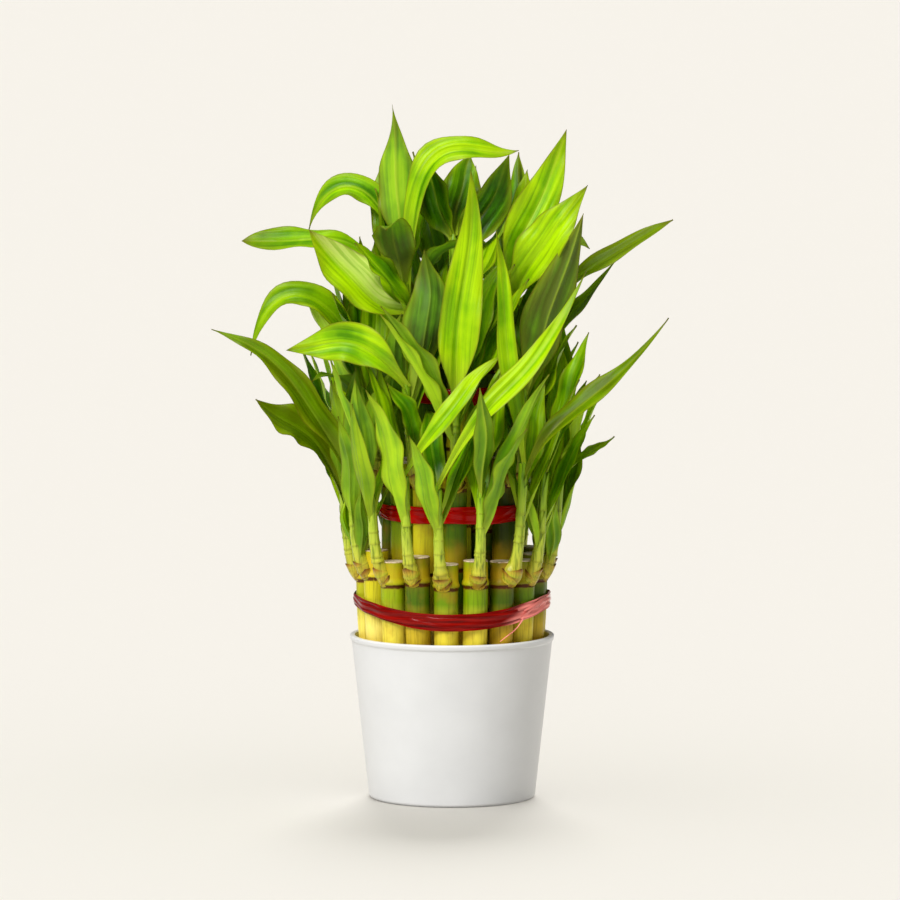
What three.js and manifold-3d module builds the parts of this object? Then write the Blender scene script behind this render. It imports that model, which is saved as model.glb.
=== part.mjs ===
// Lucky bamboo: a three-tier tower of cut Dracaena canes, tied with red ribbon, in a white tapered pot of
// soil. A cane, the shoot that grew from its top node and the shoot's leaves are one plant, so they are one
// solid. Millimetres, +Z up, origin at the centre of the pot's foot. The front faces -Y.
import * as THREE from "three";
import { mergeVertices } from "three/addons/utils/BufferGeometryUtils.js";
import Module from "manifold-3d";

const wasm = await Module();
wasm.setup();

// ---- driving dimensions: millimetres, and degrees for every turn, tilt, roll and twist ----
const GAP = 0.35; // kept between touching pieces
const POT = { height: 72, foot: 36.5, rim: 44.4, wall: 1.8, floor: 2.6, lip: 0.6, lipHeight: 2.8, edge: 0.8 };
const SOIL_TOP = 62;
const ROUND_SIDES = 36; // facets round the pot and the soil

// Below straightFrom the canes lean in, following the pot's taper.
const CANE = { low: 38, straightFrom: 98, foot: 5.1, radius: 5.45, swell: 0.7, stub: 10.5, sides: 7 };
const SHOOT = { foot: 4.2, tip: 1.8, sides: 4 };

// ring: distance of the canes from the middle. node: height of the node that the shoot grows from.
// shoot: how far the shoot rises. spread: how far it leans out. gap: the place left empty in the ring.
const TIERS = [
  { tier: "outer", count: 18, ring: 36.9, lean: 4.7, turn: -4, node: 98, shoot: 50, spread: 3, leaves: 5 },
  { tier: "middle", count: 12, gap: 2, ring: 25.6, lean: 4, turn: 2.5, node: 140, shoot: 44, spread: 4,
    leaves: 7 },
  { tier: "inner", count: 6, ring: 14.4, lean: 3.4, turn: 12, node: 189, shoot: 42, spread: 5, leaves: 8 },
  { tier: "centre", count: 1, ring: 0, lean: 0, turn: 0, node: 203, shoot: 40, spread: 0, leaves: 5 },
];

const TIE = { thick: 1.2, steps: 32 };
const TIES = [
  { name: "outer_tie", ring: 36.9, height: 88, width: 7, sag: 6 },
  { name: "middle_tie", ring: 25.6, height: 127, width: 8, sag: 0 },
  { name: "inner_tie", ring: 14.4, height: 178, width: 7.5, sag: 0 },
];

const BLADE = { thick: 1.2, fold: 0.28, neck: 0.2, widest: 0.45, taper: 2.1 };
const STATIONS = [0, 0.2, 0.45, 0.75]; // along a blade, before its tip
const BENT_STATIONS = [0, 0.2, 0.38, 0.55, 0.72, 0.87]; // for a blade that bends by more than BEND
const BEND = 65;

// Lengths, widths and tilts from upright between which each tier's leaves are drawn, and the shares of the
// shoot's height from which its first and last leaf grow
const FOLIAGE = {
  outer: { length: [50, 74], width: [10, 15], tilt: [4, 17], roots: [0.6, 0.97] },
  middle: { length: [60, 86], width: [13, 19], tilt: [7, 22], roots: [0.6, 0.97] },
  inner: { length: [50, 74], width: [14, 21], tilt: [10, 32], roots: [0.7, 0.97] },
  centre: { length: [42, 58], width: [13, 19], tilt: [5, 26], roots: [0.7, 0.97] },
};
const TRIES = 140; // how often a leaf is drawn again before its place stays bare
const CLEAR = 0.5; // free air on each face and edge of a leaf
const OWN_FROM = 0.2; // the share of a blade after which it keeps clear of its own plant too
const SHIFTS = [0, 3, -3, 6, -6, 9, -9, 12]; // forward steps tried for a leaf of the list below
// The dome that holds the tips of the drawn leaves: its reach from the middle, less curve times the square of
// the height above from
const DOME = { reach: 72, from: 200, curve: 0.0045 };
const SPOTS = [0.1, 0.25, 0.4, 0.55, 0.7, 0.85, 1]; // shares of a blade where it may hide a listed leaf
const SEEN = [0.45, 0.6, 0.75, 0.9, 1]; // shares of a listed blade that stay in view from the front

// The leaves that make the outline seen from the front. Each grows from its plant's shoot at share root, and
// its midrib runs through three points: x to the right, then forward of the middle, then height. facing is
// the compass turn that its back faces, roll tips it about its midrib, and twist adds to roll by the tip.
const SHOWN = [
  // crown: the tall pointed leaf, the arch and the paddle to the left, the pale folded one below them
  { plant: "inner_plant_06", root: 0.95, width: 19, facing: -20, roll: 0, twist: 10,
    through: [[-23, 17, 258], [-24, 15, 280], [-26, 14, 305]] },
  { plant: "inner_plant_05", root: 0.95, width: 14, facing: -90, roll: -50, twist: 0,
    through: [[-34, -12, 262], [-50, -14, 267], [-63, -16, 249]] },
  { plant: "inner_plant_05", root: 0.8, width: 13, facing: -90, roll: -45, twist: 0, widest: 0.8,
    through: [[-47, -3, 244], [-67, 1, 246], [-92, 2, 245]] },
  { plant: "inner_plant_06", root: 0.7, width: 21, facing: -90, roll: -65, twist: 0, widest: 0.55,
    through: [[-35, 22, 221], [-48, 24, 234], [-62, 24, 251]] },
  // crown: the arch over the top, and the two broad leaves to the right
  { plant: "inner_plant_06", root: 0.5, width: 14, facing: 90, roll: 55, twist: 0,
    through: [[-12, 20, 273], [8, 17, 286], [29, 14, 285]] },
  { plant: "inner_plant_02", root: 0.95, width: 19, facing: 180, roll: 0, twist: 0,
    through: [[30, 7, 246], [40, 5, 268], [50, 3, 294]] },
  { plant: "inner_plant_02", root: 0.75, width: 21, facing: 120, roll: 40, twist: 0,
    through: [[35, 13, 237], [46, 15, 252], [59, 15, 270]] },
  // crown: the dark leaves that fill it, two behind the arch and two under the leaves to the left
  { plant: "centre_plant_01", root: 0.95, width: 17, facing: 150, roll: 0, twist: 0,
    through: [[-4, 5, 257], [-9, 7, 270], [-13, 8, 284]] },
  { plant: "centre_plant_01", root: 0.8, width: 18, facing: 190, roll: 0, twist: 0,
    through: [[10, 5, 251], [18, 5, 266], [25, 4, 283]] },
  { plant: "inner_plant_06", root: 0.6, width: 17, facing: -70, roll: -40, twist: 0,
    through: [[-25, 30, 226], [-34, 33, 237], [-42, 35, 246]] },
  { plant: "inner_plant_05", root: 0.6, width: 14, facing: -90, roll: -35, twist: 0,
    through: [[-31, 0, 224], [-43, 2, 230], [-56, 4, 237]] },
  // middle tier: the hooked leaf on the left, the broad bright one below it, and the upright pair
  { plant: "middle_plant_10", root: 0.9, width: 14, facing: -90, roll: -50, twist: 0,
    through: [[-52, 3, 214], [-73, 6, 220], [-88, 7, 195]] },
  { plant: "middle_plant_12", root: 0.95, width: 18.5, facing: -90, roll: -70, twist: 0,
    through: [[-36, 38, 199], [-53, 35, 202], [-72, 30, 199]] },
  { plant: "middle_plant_12", root: 0.8, width: 20, facing: 0, roll: 0, twist: 15,
    through: [[-11, 33, 206], [-10, 30, 224], [-12, 27, 243]] },
  { plant: "middle_plant_12", root: 0.4, width: 11, facing: -90, roll: -50, twist: 0,
    through: [[-17, 36, 166], [-22, 40, 176], [-28, 42, 186]] },
  { plant: "middle_plant_11", root: 0.9, width: 15, facing: -80, roll: -20, twist: 0,
    through: [[-38, 17, 196], [-45, 18, 209], [-52, 18, 223]] },
  { plant: "middle_plant_01", root: 0.95, width: 18, facing: 180, roll: 0, twist: 0, widest: 0.35,
    through: [[3, 38, 205], [7, 36, 240], [8, 33, 278]] },
  // middle tier, right: the broad dark leaf and the two long ones that reach out
  { plant: "middle_plant_03", root: 0.9, width: 21, facing: 20, roll: 0, twist: 0,
    through: [[39, 19, 201], [47, 19, 227], [57, 18, 258]] },
  { plant: "middle_plant_04", root: 0.95, width: 12, facing: 90, roll: 35, twist: 0, widest: 0.7,
    through: [[45, -2, 218], [65, -4, 236], [97, -6, 254]] },
  { plant: "middle_plant_04", root: 0.7, width: 10, facing: 90, roll: 35, twist: 0,
    through: [[47, -8, 204], [58, -11, 219], [72, -13, 236]] },
  // outer tier, left: the long drip-tipped leaf and the short broad one
  { plant: "outer_plant_16", root: 0.95, width: 15, facing: -90, roll: -50, twist: 0, widest: 0.35,
    through: [[-59, 20, 170], [-78, 16, 192], [-105, 12, 207]] },
  { plant: "outer_plant_15", root: 0.7, width: 21, facing: -90, roll: -40, twist: 0, widest: 0.6,
    through: [[-59, 6, 155], [-71, 6, 165], [-86, 6, 176]] },
  // outer tier, front and right: the two slanting leaves, the upright narrow one, and the pointed ones
  { plant: "outer_plant_18", root: 0.95, width: 9.5, facing: 90, roll: 60, twist: 0,
    through: [[-6, 49, 168], [7, 47, 185], [22, 44, 198]] },
  { plant: "outer_plant_01", root: 0.95, width: 11, facing: 90, roll: 60, twist: 0,
    through: [[17, 53, 177], [37, 46, 199], [58, 36, 234]] },
  { plant: "outer_plant_03", root: 0.97, width: 9, facing: 180, roll: 0, twist: 40,
    through: [[26, 43, 185], [22, 38, 222], [19, 34, 251]] },
  { plant: "outer_plant_03", root: 0.85, width: 12, facing: 90, roll: 40, twist: 0,
    through: [[47, 40, 169], [67, 33, 184], [94, 26, 213]] },
  { plant: "outer_plant_05", root: 0.9, width: 7, facing: 90, roll: 30, twist: 0,
    through: [[57, 12, 151], [64, 11, 155], [71, 10, 160]] },
];

const FINISHES = {
  pot: { color: 0xe9e8e3, roughness: 0.3 },
  soil: { color: 0x3a2c20, roughness: 0.95 },
  tie: { color: 0x8e1410, roughness: 0.35 },
  plant: { color: 0x7db50c, roughness: 0.45 },
};

// ---- helpers ----
const { degToRad, radToDeg, lerp } = THREE.MathUtils;
const vec = (x, y, z) => new THREE.Vector3(x, y, z);

// Level directions by compass turn: 0 is the front (-Y), 90 the right (+X).
const outward = (turn) => vec(Math.sin(degToRad(turn)), -Math.cos(degToRad(turn)), 0);
const across = (turn) => vec(Math.cos(degToRad(turn)), Math.sin(degToRad(turn)), 0);

// A repeatable stream of draws between 0 and 1, by whole-number mixing of a counter.
function draws(seed) {
  let state = seed >>> 0;
  return () => {
    state = (state + 0x6d2b79f5) >>> 0;
    let mixed = Math.imul(state ^ (state >>> 15), 1 | state);
    mixed = (mixed + Math.imul(mixed ^ (mixed >>> 7), 61 | mixed)) ^ mixed;
    return ((mixed ^ (mixed >>> 14)) >>> 0) / 2 ** 32;
  };
}

// A closed surface through rings of equally many points. A last ring of one point closes it in a tip,
// and a looped one joins its last ring to its first.
function loft(rings, looped = false) {
  const size = rings[0].length;
  const index = [];
  for (let i = 0; i < rings.length - (looped ? 0 : 1); i++) {
    const low = i * size;
    const high = ((i + 1) % rings.length) * size;
    const atTip = rings[(i + 1) % rings.length].length === 1;
    for (let k = 0; k < size; k++) {
      const next = (k + 1) % size;
      // The diagonals meet at every second point, so the two faces of a thin blade are split alike.
      if (atTip) index.push(low + k, low + next, high);
      else if (k % 2 === 0) index.push(low + k, low + next, high + next, low + k, high + next, high + k);
      else index.push(low + k, low + next, high + k, low + next, high + next, high + k);
    }
  }
  if (!looped) {
    const last = (rings.length - 1) * size;
    for (let k = 1; k < size - 1; k++) index.push(0, k + 1, k);
    for (let k = 1; k < rings.at(-1).length - 1; k++) index.push(last, last + k, last + k + 1);
  }
  return new THREE.BufferGeometry().setFromPoints(rings.flat()).setIndex(index);
}

function toSolid(geometry) {
  geometry.deleteAttribute("normal");
  geometry.deleteAttribute("uv");
  const merged = mergeVertices(geometry, 1e-4);
  const vertProperties = new Float32Array(merged.attributes.position.array);
  const triVerts = new Uint32Array(merged.index.array);
  return new wasm.Manifold(new wasm.Mesh({ numProp: 3, vertProperties, triVerts }));
}

function toMesh(name, solid, finish) {
  const { vertProperties, triVerts } = solid.getMesh();
  const geometry = new THREE.BufferGeometry();
  geometry.setAttribute("position", new THREE.BufferAttribute(vertProperties, 3));
  geometry.setIndex(new THREE.BufferAttribute(triVerts, 1));
  geometry.computeVertexNormals();
  const mesh = new THREE.Mesh(geometry, new THREE.MeshStandardMaterial({ ...finish, metalness: 0 }));
  mesh.name = name;
  return mesh;
}

// A solid of revolution about +Z from [radius, height] pairs that start and end on the axis.
function turned(profile) {
  const points = profile.map(([radius, z]) => new THREE.Vector2(radius, z));
  return toSolid(new THREE.LatheGeometry(points, ROUND_SIDES).rotateX(Math.PI / 2));
}

// ---- pot and soil ----
const outerRadius = (z) => lerp(POT.foot, POT.rim, z / POT.height);
const innerRadius = (z) => outerRadius(z) - POT.wall;

function pot() {
  const lipLow = POT.height - POT.lipHeight;
  return turned([
    [0, 0],
    [POT.foot - POT.edge, 0],
    [POT.foot, POT.edge],
    [outerRadius(lipLow), lipLow],
    [outerRadius(lipLow) + POT.lip, lipLow + POT.lip],
    [POT.rim + POT.lip, POT.height - POT.lip],
    [POT.rim, POT.height],
    [innerRadius(POT.height), POT.height],
    [innerRadius(POT.floor), POT.floor],
    [0, POT.floor],
  ]);
}

// The soil fills the pot, with a plain hole for each cane.
function soil(stems) {
  const low = POT.floor + GAP;
  const filled = turned([
    [0, low],
    [innerRadius(low) - GAP, low],
    [innerRadius(SOIL_TOP) - GAP, SOIL_TOP],
    [0, SOIL_TOP],
  ]);
  return stems.reduce((rest, stem) => rest.subtract(cane(stem, GAP)), filled);
}

// ---- canes ----
function caneAxis(stem, z) {
  const share = Math.min(1, (z - CANE.low) / (CANE.straightFrom - CANE.low));
  const ring = stem.ring - stem.lean * (1 - Math.sin((Math.PI / 2) * share));
  return outward(stem.turn).multiplyScalar(ring).setZ(z);
}

// A cane stands in the soil and swells at its top node, over which it was cut off square.
function cane(stem, extra = 0) {
  const straight = [SOIL_TOP, CANE.straightFrom].filter((z) => z < stem.node - 4);
  const levels = [
    [CANE.low - extra, CANE.foot],
    ...straight.map((z) => [z, CANE.radius]),
    [stem.node - 2, CANE.radius],
    [stem.node, CANE.radius + CANE.swell],
    [stem.node + 2, CANE.radius],
    [stem.node + stem.stub, CANE.radius],
  ];
  const rings = levels.map(([z, radius]) => {
    const middle = caneAxis(stem, z);
    return Array.from({ length: CANE.sides }, (_, k) =>
      middle.clone().addScaledVector(outward(stem.turn + (360 * k) / CANE.sides), radius + extra),
    );
  });
  return toSolid(loft(rings));
}

// ---- shoots ----
// A shoot narrows fast above its swollen foot.
const shootRadius = (t) => lerp(SHOOT.tip, SHOOT.foot, (1 - t) ** 2);

// A shoot leaves its node sideways and bends upright, clear of the cane's cut top.
function shootCurve(stem) {
  const start = caneAxis(stem, stem.node - 1);
  const reach = CANE.radius + SHOOT.foot - 0.6;
  const point = (out, up) => start.clone().addScaledVector(outward(stem.side), out).add(vec(0, 0, up));
  return new THREE.CubicBezierCurve3(
    start,
    point(reach * 1.25, stem.rise * 0.12),
    point(reach, stem.rise * 0.5),
    point(reach + stem.spread, stem.rise),
  );
}

function shoot(stem) {
  const level = across(stem.side);
  const rings = [0, 0.25, 0.6, 1].map((t) => {
    const at = stem.curve.getPoint(t);
    const upper = stem.curve.getTangent(t).cross(level);
    const radius = shootRadius(t);
    return Array.from({ length: SHOOT.sides }, (_, k) => {
      const angle = (2 * Math.PI * k) / SHOOT.sides;
      const out = level.clone().multiplyScalar(Math.cos(angle)).addScaledVector(upper, Math.sin(angle));
      return at.clone().addScaledVector(out, radius);
    });
  });
  return toSolid(loft(rings));
}

// ---- leaves ----
// Half-width along a blade, as a share of its most: a narrow neck, then a swell, then a taper to a point.
function bladeShare(t, widest) {
  if (t < widest) return lerp(BLADE.neck, 1, Math.sin((Math.PI / 2) * (t / widest)) ** 2);
  return 1 - ((t - widest) / (1 - widest)) ** BLADE.taper;
}

// A blade along its midrib, folded in a shallow V whose open side is its upper face. extra swells it
// on every side, and from leaves off its root.
function blade(leaf, extra = 0, from = 0) {
  const bend = radToDeg(leaf.curve.getTangent(0).angleTo(leaf.curve.getTangent(1)));
  const stations = (bend > BEND ? BENT_STATIONS : STATIONS).filter((t) => t >= from);
  const rings = stations.map((t) => {
    const at = leaf.curve.getPoint(t);
    const along = leaf.curve.getTangent(t);
    const level = across(leaf.facing);
    const side = level.clone().addScaledVector(along, -level.dot(along)).normalize();
    side.applyAxisAngle(along, degToRad(leaf.roll + leaf.twist * t));
    const upper = along.clone().cross(side);
    const half = (leaf.width / 2) * bladeShare(t, leaf.widest ?? BLADE.widest) + extra;
    const thick = BLADE.thick / 2 + extra;
    const corner = (out, up) => at.clone().addScaledVector(side, out).addScaledVector(upper, up);
    const lift = BLADE.fold * half;
    return [corner(-half, lift), corner(0, -thick), corner(half, lift), corner(0, thick)];
  });
  rings.push([leaf.curve.getPoint(1).addScaledVector(leaf.curve.getTangent(1), extra)]);
  return toSolid(loft(rings));
}

// A leaf of the list: the cubic midrib that passes two of its points at one and two thirds of its way.
function shownLeaf(stem, shown, shift) {
  const [first, second, tip] = shown.through.map(([x, front, z]) => vec(x, -front - shift, z));
  const start = stem.curve.getPoint(shown.root);
  const passed = [start, first, second, tip];
  const blend = (...shares) =>
    passed.reduce((sum, point, i) => sum.addScaledVector(point, shares[i] / 6), vec(0, 0, 0));
  const curve = new THREE.CubicBezierCurve3(start, blend(-5, 18, -9, 2), blend(2, -9, 18, -5), tip);
  return { ...shown, curve };
}

// A leaf drawn by rule: it leaves the shoot aslant, straightens, and leans or droops toward its tip.
function drawnLeaf(stem, number, draw) {
  const { length, width, tilt, roots } = FOLIAGE[stem.tier];
  const turn = stem.side + 215 * number + 170 * (draw() - 0.5);
  const lean = lerp(...tilt, draw());
  const droop = 6 + 24 * draw() + (draw() > 0.86 ? 70 : 0);
  const step = lerp(...length, draw()) / 3;
  const sway = 25 * (draw() - 0.5);
  const broad = lerp(...width, draw());
  const twist = 70 * (draw() - 0.5);
  const height = lerp(...roots, number / (stem.leaves - 1));
  const start = stem.curve.getPoint(height);
  const points = [start.addScaledVector(outward(turn), shootRadius(height) / 2)];
  [lean + 12, lean, lean + droop].forEach((angle, i) => {
    const out = outward(turn + sway * i).multiplyScalar(Math.sin(degToRad(angle)));
    points.push(points[i].clone().addScaledVector(out.setZ(Math.cos(degToRad(angle))), step));
  });
  return { curve: new THREE.CubicBezierCurve3(...points), width: broad, facing: turn, roll: 0, twist };
}

// Points along a blade's midrib, each with the blade's half-width there.
function spots(leaf, shares) {
  return shares.map((t) => ({
    at: leaf.curve.getPoint(t),
    half: (leaf.width / 2) * bladeShare(t, leaf.widest ?? BLADE.widest),
  }));
}

// A leaf hides a listed one where it passes in front of it, as seen along +Y.
function hides(leaf, listed) {
  const seenApart = (a, b) => Math.hypot(a.at.x - b.at.x, a.at.z - b.at.z);
  const covers = (a, b) => a.at.y < b.at.y && seenApart(a, b) < 0.8 * (a.half + b.half);
  return spots(leaf, SPOTS).some((a) => spots(listed, SEEN).some((b) => covers(a, b)));
}

function isInDome(leaf) {
  const tip = leaf.curve.getPoint(1);
  return Math.hypot(tip.x, tip.y) < DOME.reach - DOME.curve * Math.max(0, tip.z - DOME.from) ** 2;
}

// ---- ribbon ties ----
// A flat ribbon round the canes. The outer one sags at the front.
function ribbon(tie) {
  const inner = tie.ring + CANE.radius + GAP;
  const rings = Array.from({ length: TIE.steps }, (_, k) => {
    const turn = (360 * k) / TIE.steps;
    const middle = tie.height - tie.sag * Math.max(0, Math.cos(degToRad(turn))) ** 2;
    const corner = (radius, z) => outward(turn).multiplyScalar(radius).setZ(z);
    return [
      corner(inner, middle - tie.width / 2),
      corner(inner, middle + tie.width / 2),
      corner(inner + TIE.thick, middle + tie.width / 2),
      corner(inner + TIE.thick, middle - tie.width / 2),
    ];
  });
  return toSolid(loft(rings, true));
}

// ---- plants ----
// The bare stems, each with its own small variations.
function bareStems() {
  return TIERS.flatMap((tier, t) => {
    const places = Array.from({ length: tier.count }, (_, i) => i + 1).filter((place) => place !== tier.gap);
    return places.map((place) => {
      const seed = 1000 * (t + 1) + place;
      const draw = draws(seed);
      const turn = tier.turn + (360 * (place - 1)) / tier.count;
      const stem = { ...tier, seed, turn, name: `${tier.tier}_plant_${String(place).padStart(2, "0")}` };
      stem.node = tier.node + 3 * (draw() - 0.5);
      stem.stub = CANE.stub + 2 * (draw() - 0.5);
      stem.side = turn + 40 * (draw() - 0.5);
      stem.rise = tier.shoot * lerp(0.85, 1.15, draw());
      stem.curve = shootCurve(stem);
      stem.pieces = [cane(stem), shoot(stem)];
      return stem;
    });
  });
}

// Grows the leaves one after another, each where it is clear of every piece that stands already.
function growLeaves(stems, others) {
  const standing = [];
  const add = (solid, stem) => standing.push({ solid, box: solid.boundingBox(), stem });
  others.forEach((solid) => add(solid, null));
  stems.forEach((stem) => stem.pieces.forEach((piece) => add(piece, stem)));

  const touches = (solid, other) => {
    const box = solid.boundingBox();
    if ([0, 1, 2].some((k) => box.min[k] > other.box.max[k] || other.box.min[k] > box.max[k])) return false;
    const common = solid.intersect(other.solid);
    const shared = !common.isEmpty();
    common.delete();
    return shared;
  };
  const isClear = (leaf, stem) => {
    const whole = blade(leaf, CLEAR);
    const outerPart = blade(leaf, CLEAR, OWN_FROM);
    const clear = !standing.some((other) => touches(other.stem === stem ? outerPart : whole, other));
    whole.delete();
    outerPart.delete();
    return clear;
  };
  const growFirst = (stem, count, leafAt, suits = () => true) => {
    for (let k = 0; k < count; k++) {
      const leaf = leafAt(k);
      if (!suits(leaf) || !isClear(leaf, stem)) continue;
      stem.pieces.push(blade(leaf));
      add(stem.pieces.at(-1), stem);
      return leaf;
    }
    return null;
  };

  const listed = SHOWN.map((shown) => {
    const stem = stems.find((one) => one.name === shown.plant);
    return growFirst(stem, SHIFTS.length, (k) => shownLeaf(stem, shown, SHIFTS[k]));
  }).filter(Boolean);
  const suits = (leaf) => isInDome(leaf) && !listed.some((other) => hides(leaf, other));
  const most = Math.max(...stems.map((stem) => stem.leaves));
  for (let number = 0; number < most; number++) {
    for (const stem of stems.filter((one) => number < one.leaves)) {
      const draw = draws(10 * stem.seed + number);
      growFirst(stem, TRIES, () => drawnLeaf(stem, number, draw), suits);
    }
  }
}

// ---- assembly ----
const stems = bareStems();
const potSolid = pot();
const ribbons = TIES.map(ribbon);
growLeaves(stems, [potSolid, ...ribbons]);

const group = new THREE.Group();
group.add(toMesh("pot", potSolid, FINISHES.pot));
group.add(toMesh("soil", soil(stems), FINISHES.soil));
TIES.forEach((tie, i) => group.add(toMesh(tie.name, ribbons[i], FINISHES.tie)));
for (const stem of stems) {
  const plant = stem.pieces.reduce((sum, piece) => sum.add(piece));
  group.add(toMesh(stem.name, plant, FINISHES.plant));
}

export default group;
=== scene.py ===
"""Lucky bamboo: a tiered tower of cut canes, tied with red ribbon, in a white tapered pot of soil."""

import functools
import math

import bpy
import numpy as np
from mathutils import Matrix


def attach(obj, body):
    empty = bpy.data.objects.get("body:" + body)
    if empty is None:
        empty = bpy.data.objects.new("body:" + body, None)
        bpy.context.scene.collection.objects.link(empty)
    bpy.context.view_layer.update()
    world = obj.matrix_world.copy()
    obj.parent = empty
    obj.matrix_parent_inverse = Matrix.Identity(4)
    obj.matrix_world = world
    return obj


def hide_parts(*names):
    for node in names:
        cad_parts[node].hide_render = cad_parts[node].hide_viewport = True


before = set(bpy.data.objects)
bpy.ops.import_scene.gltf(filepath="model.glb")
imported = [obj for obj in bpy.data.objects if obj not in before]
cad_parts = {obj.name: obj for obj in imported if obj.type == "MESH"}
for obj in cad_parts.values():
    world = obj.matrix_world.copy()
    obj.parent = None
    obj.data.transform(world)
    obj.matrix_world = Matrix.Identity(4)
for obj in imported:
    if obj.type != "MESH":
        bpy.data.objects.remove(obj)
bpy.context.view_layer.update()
MM = 0.001  # every size below is in millimetres


# ---- Camera and studio ----
# A long lens a few paces away and a little above the pot, as in the photograph. The plant stands on a wide
# pale table, with a large window-like light to the front left and another above.

CAMERA = {"away": 2500, "elevation": 5.0, "target": (-0.9, 0, 153.1), "frame_height": 395, "sensor": 36.0}
TABLE = {"reach": 60000, "sides": 64}  # so wide that its edge lies above the picture
TINT = {"output": 2, "data_type": "RGBA"}  # what a Mix node is given where it mixes colours


def linear(shade):
    """An sRGB hex colour as linear RGBA: c / 12.92 below 0.04045, else ((c + 0.055) / 1.055) ** 2.4."""
    coded = np.array([int(shade[i:i + 2], 16) for i in (1, 3, 5)]) / 255
    light = np.where(coded <= 0.04045, coded / 12.92, ((coded + 0.055) / 1.055) ** 2.4)
    return (*light.tolist(), 1.0)


def set_sockets(owner, node, sockets):
    """Gives each socket of a node of a material or world a value, or a link where it is given another node's
    output."""
    tree = owner.node_tree
    for name, value in sockets.items():
        if isinstance(value, bpy.types.NodeSocket):
            tree.links.new(value, tree.nodes[node].inputs[name])
        else:
            tree.nodes[node].inputs[name].default_value = value


def add_node(owner, kind, sockets=None, stops=(), output=0, **settings):
    """Adds a node with its settings and sockets, and gives back one of its outputs. stops are the places and
    colours of a colour ramp."""
    node = owner.node_tree.nodes.new("ShaderNode" + kind)
    for name, value in settings.items():
        setattr(node, name, value)
    set_sockets(owner, node.name, sockets or {})
    for number, (place, shade) in enumerate(stops):
        ramp = node.color_ramp.elements
        stop = ramp[number] if number < len(ramp) else ramp.new(place)
        stop.position, stop.color = place, linear(shade)
    return node.outputs[output]


lens = bpy.data.cameras.new("camera")
lens.sensor_width = CAMERA["sensor"]
lens.lens = CAMERA["sensor"] * CAMERA["away"] / CAMERA["frame_height"]
camera = bpy.data.objects.new("camera", lens)
tilt = math.radians(CAMERA["elevation"])
back_off = CAMERA["away"] * np.array([0, -math.cos(tilt), math.sin(tilt)])
camera.location = (np.array(CAMERA["target"]) + back_off) * MM
camera.rotation_euler = (math.pi / 2 - tilt, 0, 0)
bpy.context.collection.objects.link(camera)
bpy.context.scene.camera = camera
bpy.context.scene.view_settings.view_transform = "Standard"

sky = bpy.data.worlds.new("studio")
sky.use_nodes = True
set_sockets(sky, "Background", {"Color": linear("#FFFDF9"), "Strength": 0.25})
bpy.context.scene.world = sky

turns = np.linspace(0, 2 * np.pi, TABLE["sides"], endpoint=False)
table_edge = np.stack([np.cos(turns), np.sin(turns), 0 * turns], -1) * TABLE["reach"] * MM
table_mesh = bpy.data.meshes.new("table")
table_mesh.from_pydata(table_edge.tolist(), [], [list(range(TABLE["sides"]))])
table = bpy.data.objects.new("table", table_mesh)
bpy.context.collection.objects.link(table)
paper = bpy.data.materials.new("matte paper")
paper.use_nodes = True
set_sockets(paper, "Principled BSDF",
            {"Base Color": linear("#F5F2EB"), "Roughness": 0.9, "Specular IOR Level": 0.0})
table_mesh.materials.append(paper)

# Each light: the turn and height that it shines from and the width of its soft face, in degrees, then its
# strength, colour and flag. Flags keep the plant's two lights off the table, which has a wide soft light and
# a low one from behind. In those two the pot alone throws a shadow, which stays small and close, as in the
# photo.
LIGHTS = {
    "key": (-36, 36, 22, 2.15, "#FFFEFC", "EXCLUDE"),
    "overhead": (-15, 66, 26, 1.7, "#FFFFFE", "EXCLUDE"),
    "table light": (0, 90, 140, 1.45, "#FFFEFD", "INCLUDE"),
    "table back": (177, 30, 30, 1.95, "#FFFEFD", "INCLUDE"),
}
shading = bpy.data.collections.new("what shades the table")
for name, (turn, height, face, strength, shade, flag) in LIGHTS.items():
    lamp = bpy.data.lights.new(name, "SUN")
    lamp.energy, lamp.angle, lamp.color = strength, math.radians(face), linear(shade)[:3]
    holder = bpy.data.objects.new(name, lamp)
    holder.rotation_euler = (math.radians(90 - height), 0, math.radians(turn))
    flags = bpy.data.collections.new(name + " flags")
    flags.objects.link(table)
    flags.collection_objects[0].light_linking.link_state = flag
    holder.light_linking.receiver_collection = flags
    if flag == "INCLUDE":
        holder.light_linking.blocker_collection = shading
    bpy.context.collection.objects.link(holder)


# ---- Pot ----
# One piece of white polypropylene, injection moulded with a slight taper so that it leaves its mould, and
# with a thin turned lip that stiffens the rim. It stands on its flat foot.

POT = {"height": 72, "foot": 36.5, "rim": 44.4, "wall": 1.8, "floor": 2.6, "lip": 0.6, "lip_height": 2.8}
POT_SIDES = 160
AXIS_HOLE = 0.02  # radius of the small face that closes a surface on its axis


def direction(turn):
    """Level unit vectors by compass turn in degrees, 0 to the front and 90 to the right: (sin, -cos, 0)."""
    turn = np.radians(turn)
    return np.stack([np.sin(turn), -np.cos(turn), np.zeros_like(turn)], -1)


def eased(profile, reach=0.5, steps=5):
    """A profile with its corners rounded. Each inner point becomes a quadratic Bezier arc that starts and
    ends at reach, or at 0.45 of the side where that is shorter, from the point."""
    before, at, after = profile[:-2], profile[1:-1], profile[2:]
    pull = [other - at for other in (before, after)]
    size = [np.linalg.norm(side, axis=-1, keepdims=True) for side in pull]
    first, last = [at + side / long * np.minimum(reach, 0.45 * long) for side, long in zip(pull, size)]
    t = np.linspace(0, 1, steps)[None, :, None]
    arcs = (1 - t) ** 2 * first[:, None] + 2 * t * (1 - t) * at[:, None] + t**2 * last[:, None]
    return np.concatenate([profile[:1], arcs.reshape(-1, profile.shape[-1]), profile[-1:]])


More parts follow.
